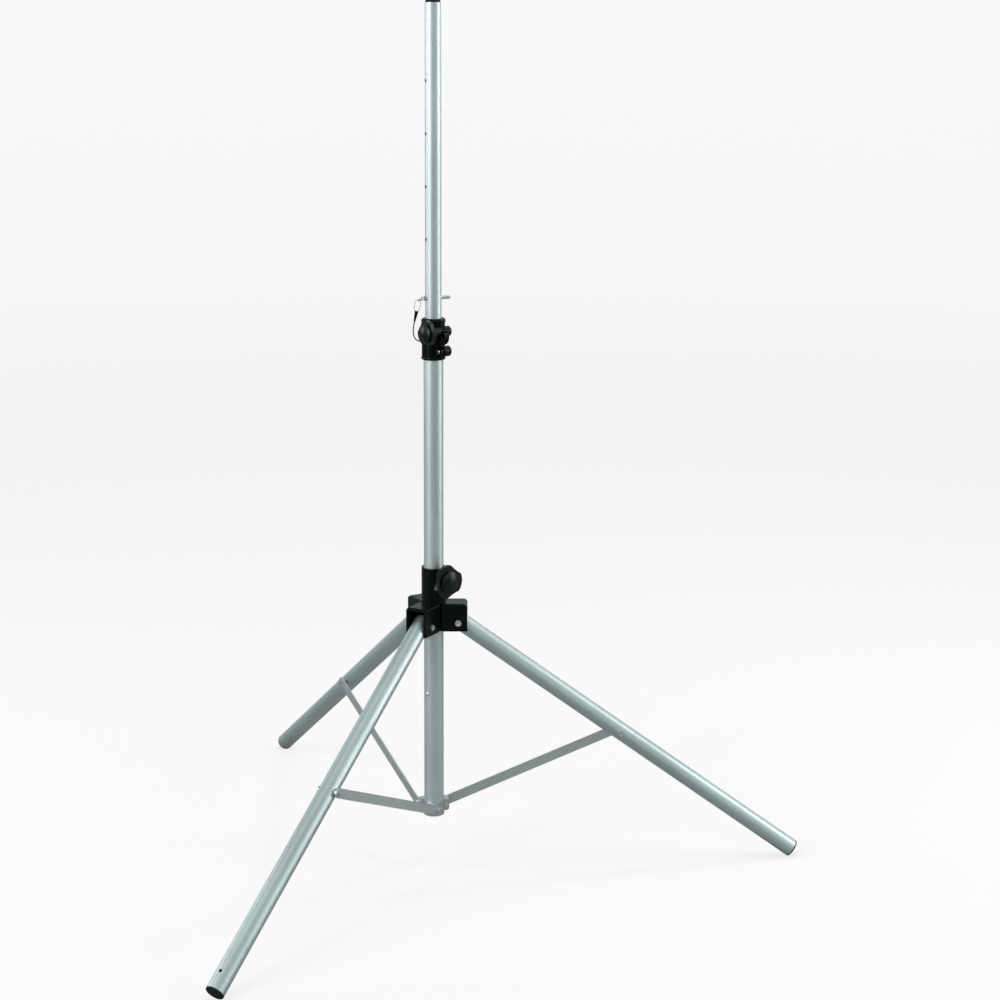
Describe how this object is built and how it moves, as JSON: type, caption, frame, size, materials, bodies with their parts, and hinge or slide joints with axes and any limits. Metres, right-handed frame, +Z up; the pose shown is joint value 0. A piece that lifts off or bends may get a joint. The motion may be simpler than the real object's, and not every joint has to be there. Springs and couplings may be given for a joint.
{
  "type": "loudspeaker tripod stand",
  "caption": "Telescopic floor stand for a loudspeaker: a sliding pole in a tube, a clamp and safety pin, and a folding tripod base with braces.",
  "frame": {"origin": "on the floor, under the axis of the pole", "axes": "+Z up along the pole; +X along leg 1; legs 2 and 3 at 120 and 240 degrees counter-clockwise seen from above"},
  "size_m": [1.2058, 1.3862, 1.874],
  "materials": {
    "tube_aluminium": "satin drawn tube",
    "bar_aluminium": "satin flat bar",
    "hub_aluminium": "fine cast",
    "bright_steel": "bright plated",
    "black_nylon": "fine satin",
    "black_collar": "satin powder coat",
    "black_rubber": "matt",
    "cord_black": "woven cord"
  },
  "bodies": {
    "base": {"outer_tube": "tube_aluminium", "hub": "hub_aluminium", "hub_bolts": "bright_steel", "hub_nuts": "bright_steel", "stop_rivet": "bright_steel", "height_clamp": "black_nylon", "guide_bush": "black_nylon", "clamp_screw": "bright_steel", "clamp_nut": "bright_steel", "height_knob_nut": "bright_steel", "lanyard_anchor": "bright_steel", "lanyard_cord": "cord_black"},
    "height_knob": {"height_knob": "black_nylon", "height_knob_bolt": "bright_steel"},
    "pole": {"pole_tube": "tube_aluminium", "pole_cap": "black_rubber", "pole_bush": "black_nylon", "lanyard_sleeve": "black_nylon", "lanyard_wire": "bright_steel"},
    "pin": {"safety_pin": "bright_steel", "pin_ring": "bright_steel"},
    "collar": {"leg_collar": "black_collar", "leg_bolts": "bright_steel", "leg_nuts": "bright_steel", "collar_pad": "black_nylon"},
    "collar_knob": {"collar_knob": "black_nylon", "collar_knob_bolt": "bright_steel"},
    "leg_1": {"leg_tube_1": "tube_aluminium", "leg_insert_1": "black_nylon", "leg_foot_1": "black_rubber", "brace_bolt_1": "bright_steel", "brace_spacer_1": "bright_steel"},
    "brace_1": {"brace_1": "bar_aluminium", "brace_nut_1": "bright_steel"},
    "leg_2": {"leg_tube_2": "tube_aluminium", "leg_insert_2": "black_nylon", "leg_foot_2": "black_rubber", "brace_bolt_2": "bright_steel", "brace_spacer_2": "bright_steel"},
    "brace_2": {"brace_2": "bar_aluminium", "brace_nut_2": "bright_steel"},
    "leg_3": {"leg_tube_3": "tube_aluminium", "leg_insert_3": "black_nylon", "leg_foot_3": "black_rubber", "brace_bolt_3": "bright_steel", "brace_spacer_3": "bright_steel"},
    "brace_3": {"brace_3": "bar_aluminium", "brace_nut_3": "bright_steel"}
  },
  "joints": [
    {"name": "collar_slide", "type": "slide", "parent": "base", "child": "collar", "axis": [0, 0, 1], "range_m": [0, 0.43469]},
    {"name": "leg_1_fold", "type": "hinge", "parent": "collar", "child": "leg_1", "pos_m": [0.0535, 0, 0.528], "axis": [0, 1, 0], "range_deg": [0, 54.98]},
    {"name": "leg_2_fold", "type": "hinge", "parent": "collar", "child": "leg_2", "pos_m": [-0.02675, 0.04633, 0.528], "axis": [-0.866, -0.5, 0], "range_deg": [0, 54.98]},
    {"name": "leg_3_fold", "type": "hinge", "parent": "collar", "child": "leg_3", "pos_m": [-0.02675, -0.04633, 0.528], "axis": [0.866, -0.5, 0], "range_deg": [0, 54.98]},
    {"name": "brace_1_fold", "type": "hinge", "parent": "base", "child": "brace_1", "pos_m": [0.0265, 0, 0.115], "axis": [0, -1, 0], "range_deg": [0, 62.95]},
    {"name": "brace_2_fold", "type": "hinge", "parent": "base", "child": "brace_2", "pos_m": [-0.01325, 0.02295, 0.115], "axis": [0.866, 0.5, 0], "range_deg": [0, 62.95]},
    {"name": "brace_3_fold", "type": "hinge", "parent": "base", "child": "brace_3", "pos_m": [-0.01325, -0.02295, 0.115], "axis": [-0.866, 0.5, 0], "range_deg": [0, 62.95]},
    {"name": "pole_slide", "type": "slide", "parent": "base", "child": "pole", "axis": [0, 0, 1], "range_m": [-0.037, 0.095], "deforming": ["lanyard_cord"]},
    {"name": "pin_pull", "type": "slide", "parent": "pole", "child": "pin", "axis": [-0.9063, -0.4226, 0], "range_m": [0, 0.058], "deforming": ["lanyard_wire"]},
    {"name": "height_knob_turn", "type": "hinge", "parent": "base", "child": "height_knob", "pos_m": [0.018, -0.02145, 1.163], "axis": [-0.766, -0.6428, 0], "range_deg": [0, 450]},
    {"name": "collar_knob_turn", "type": "hinge", "parent": "collar", "child": "collar_knob", "pos_m": [0, 0, 0.622], "axis": [0.6428, -0.766, 0], "range_deg": [0, 450]}
  ],
  "couplings": [
    {"joint": "leg_1_fold", "follows": "collar_slide", "rad_per_m": 2.2076},
    {"joint": "leg_2_fold", "follows": "collar_slide", "rad_per_m": 2.2076},
    {"joint": "leg_3_fold", "follows": "collar_slide", "rad_per_m": 2.2076},
    {"joint": "brace_1_fold", "follows": "collar_slide", "rad_per_m": 2.5276},
    {"joint": "brace_2_fold", "follows": "collar_slide", "rad_per_m": 2.5276},
    {"joint": "brace_3_fold", "follows": "collar_slide", "rad_per_m": 2.5276}
  ]
}
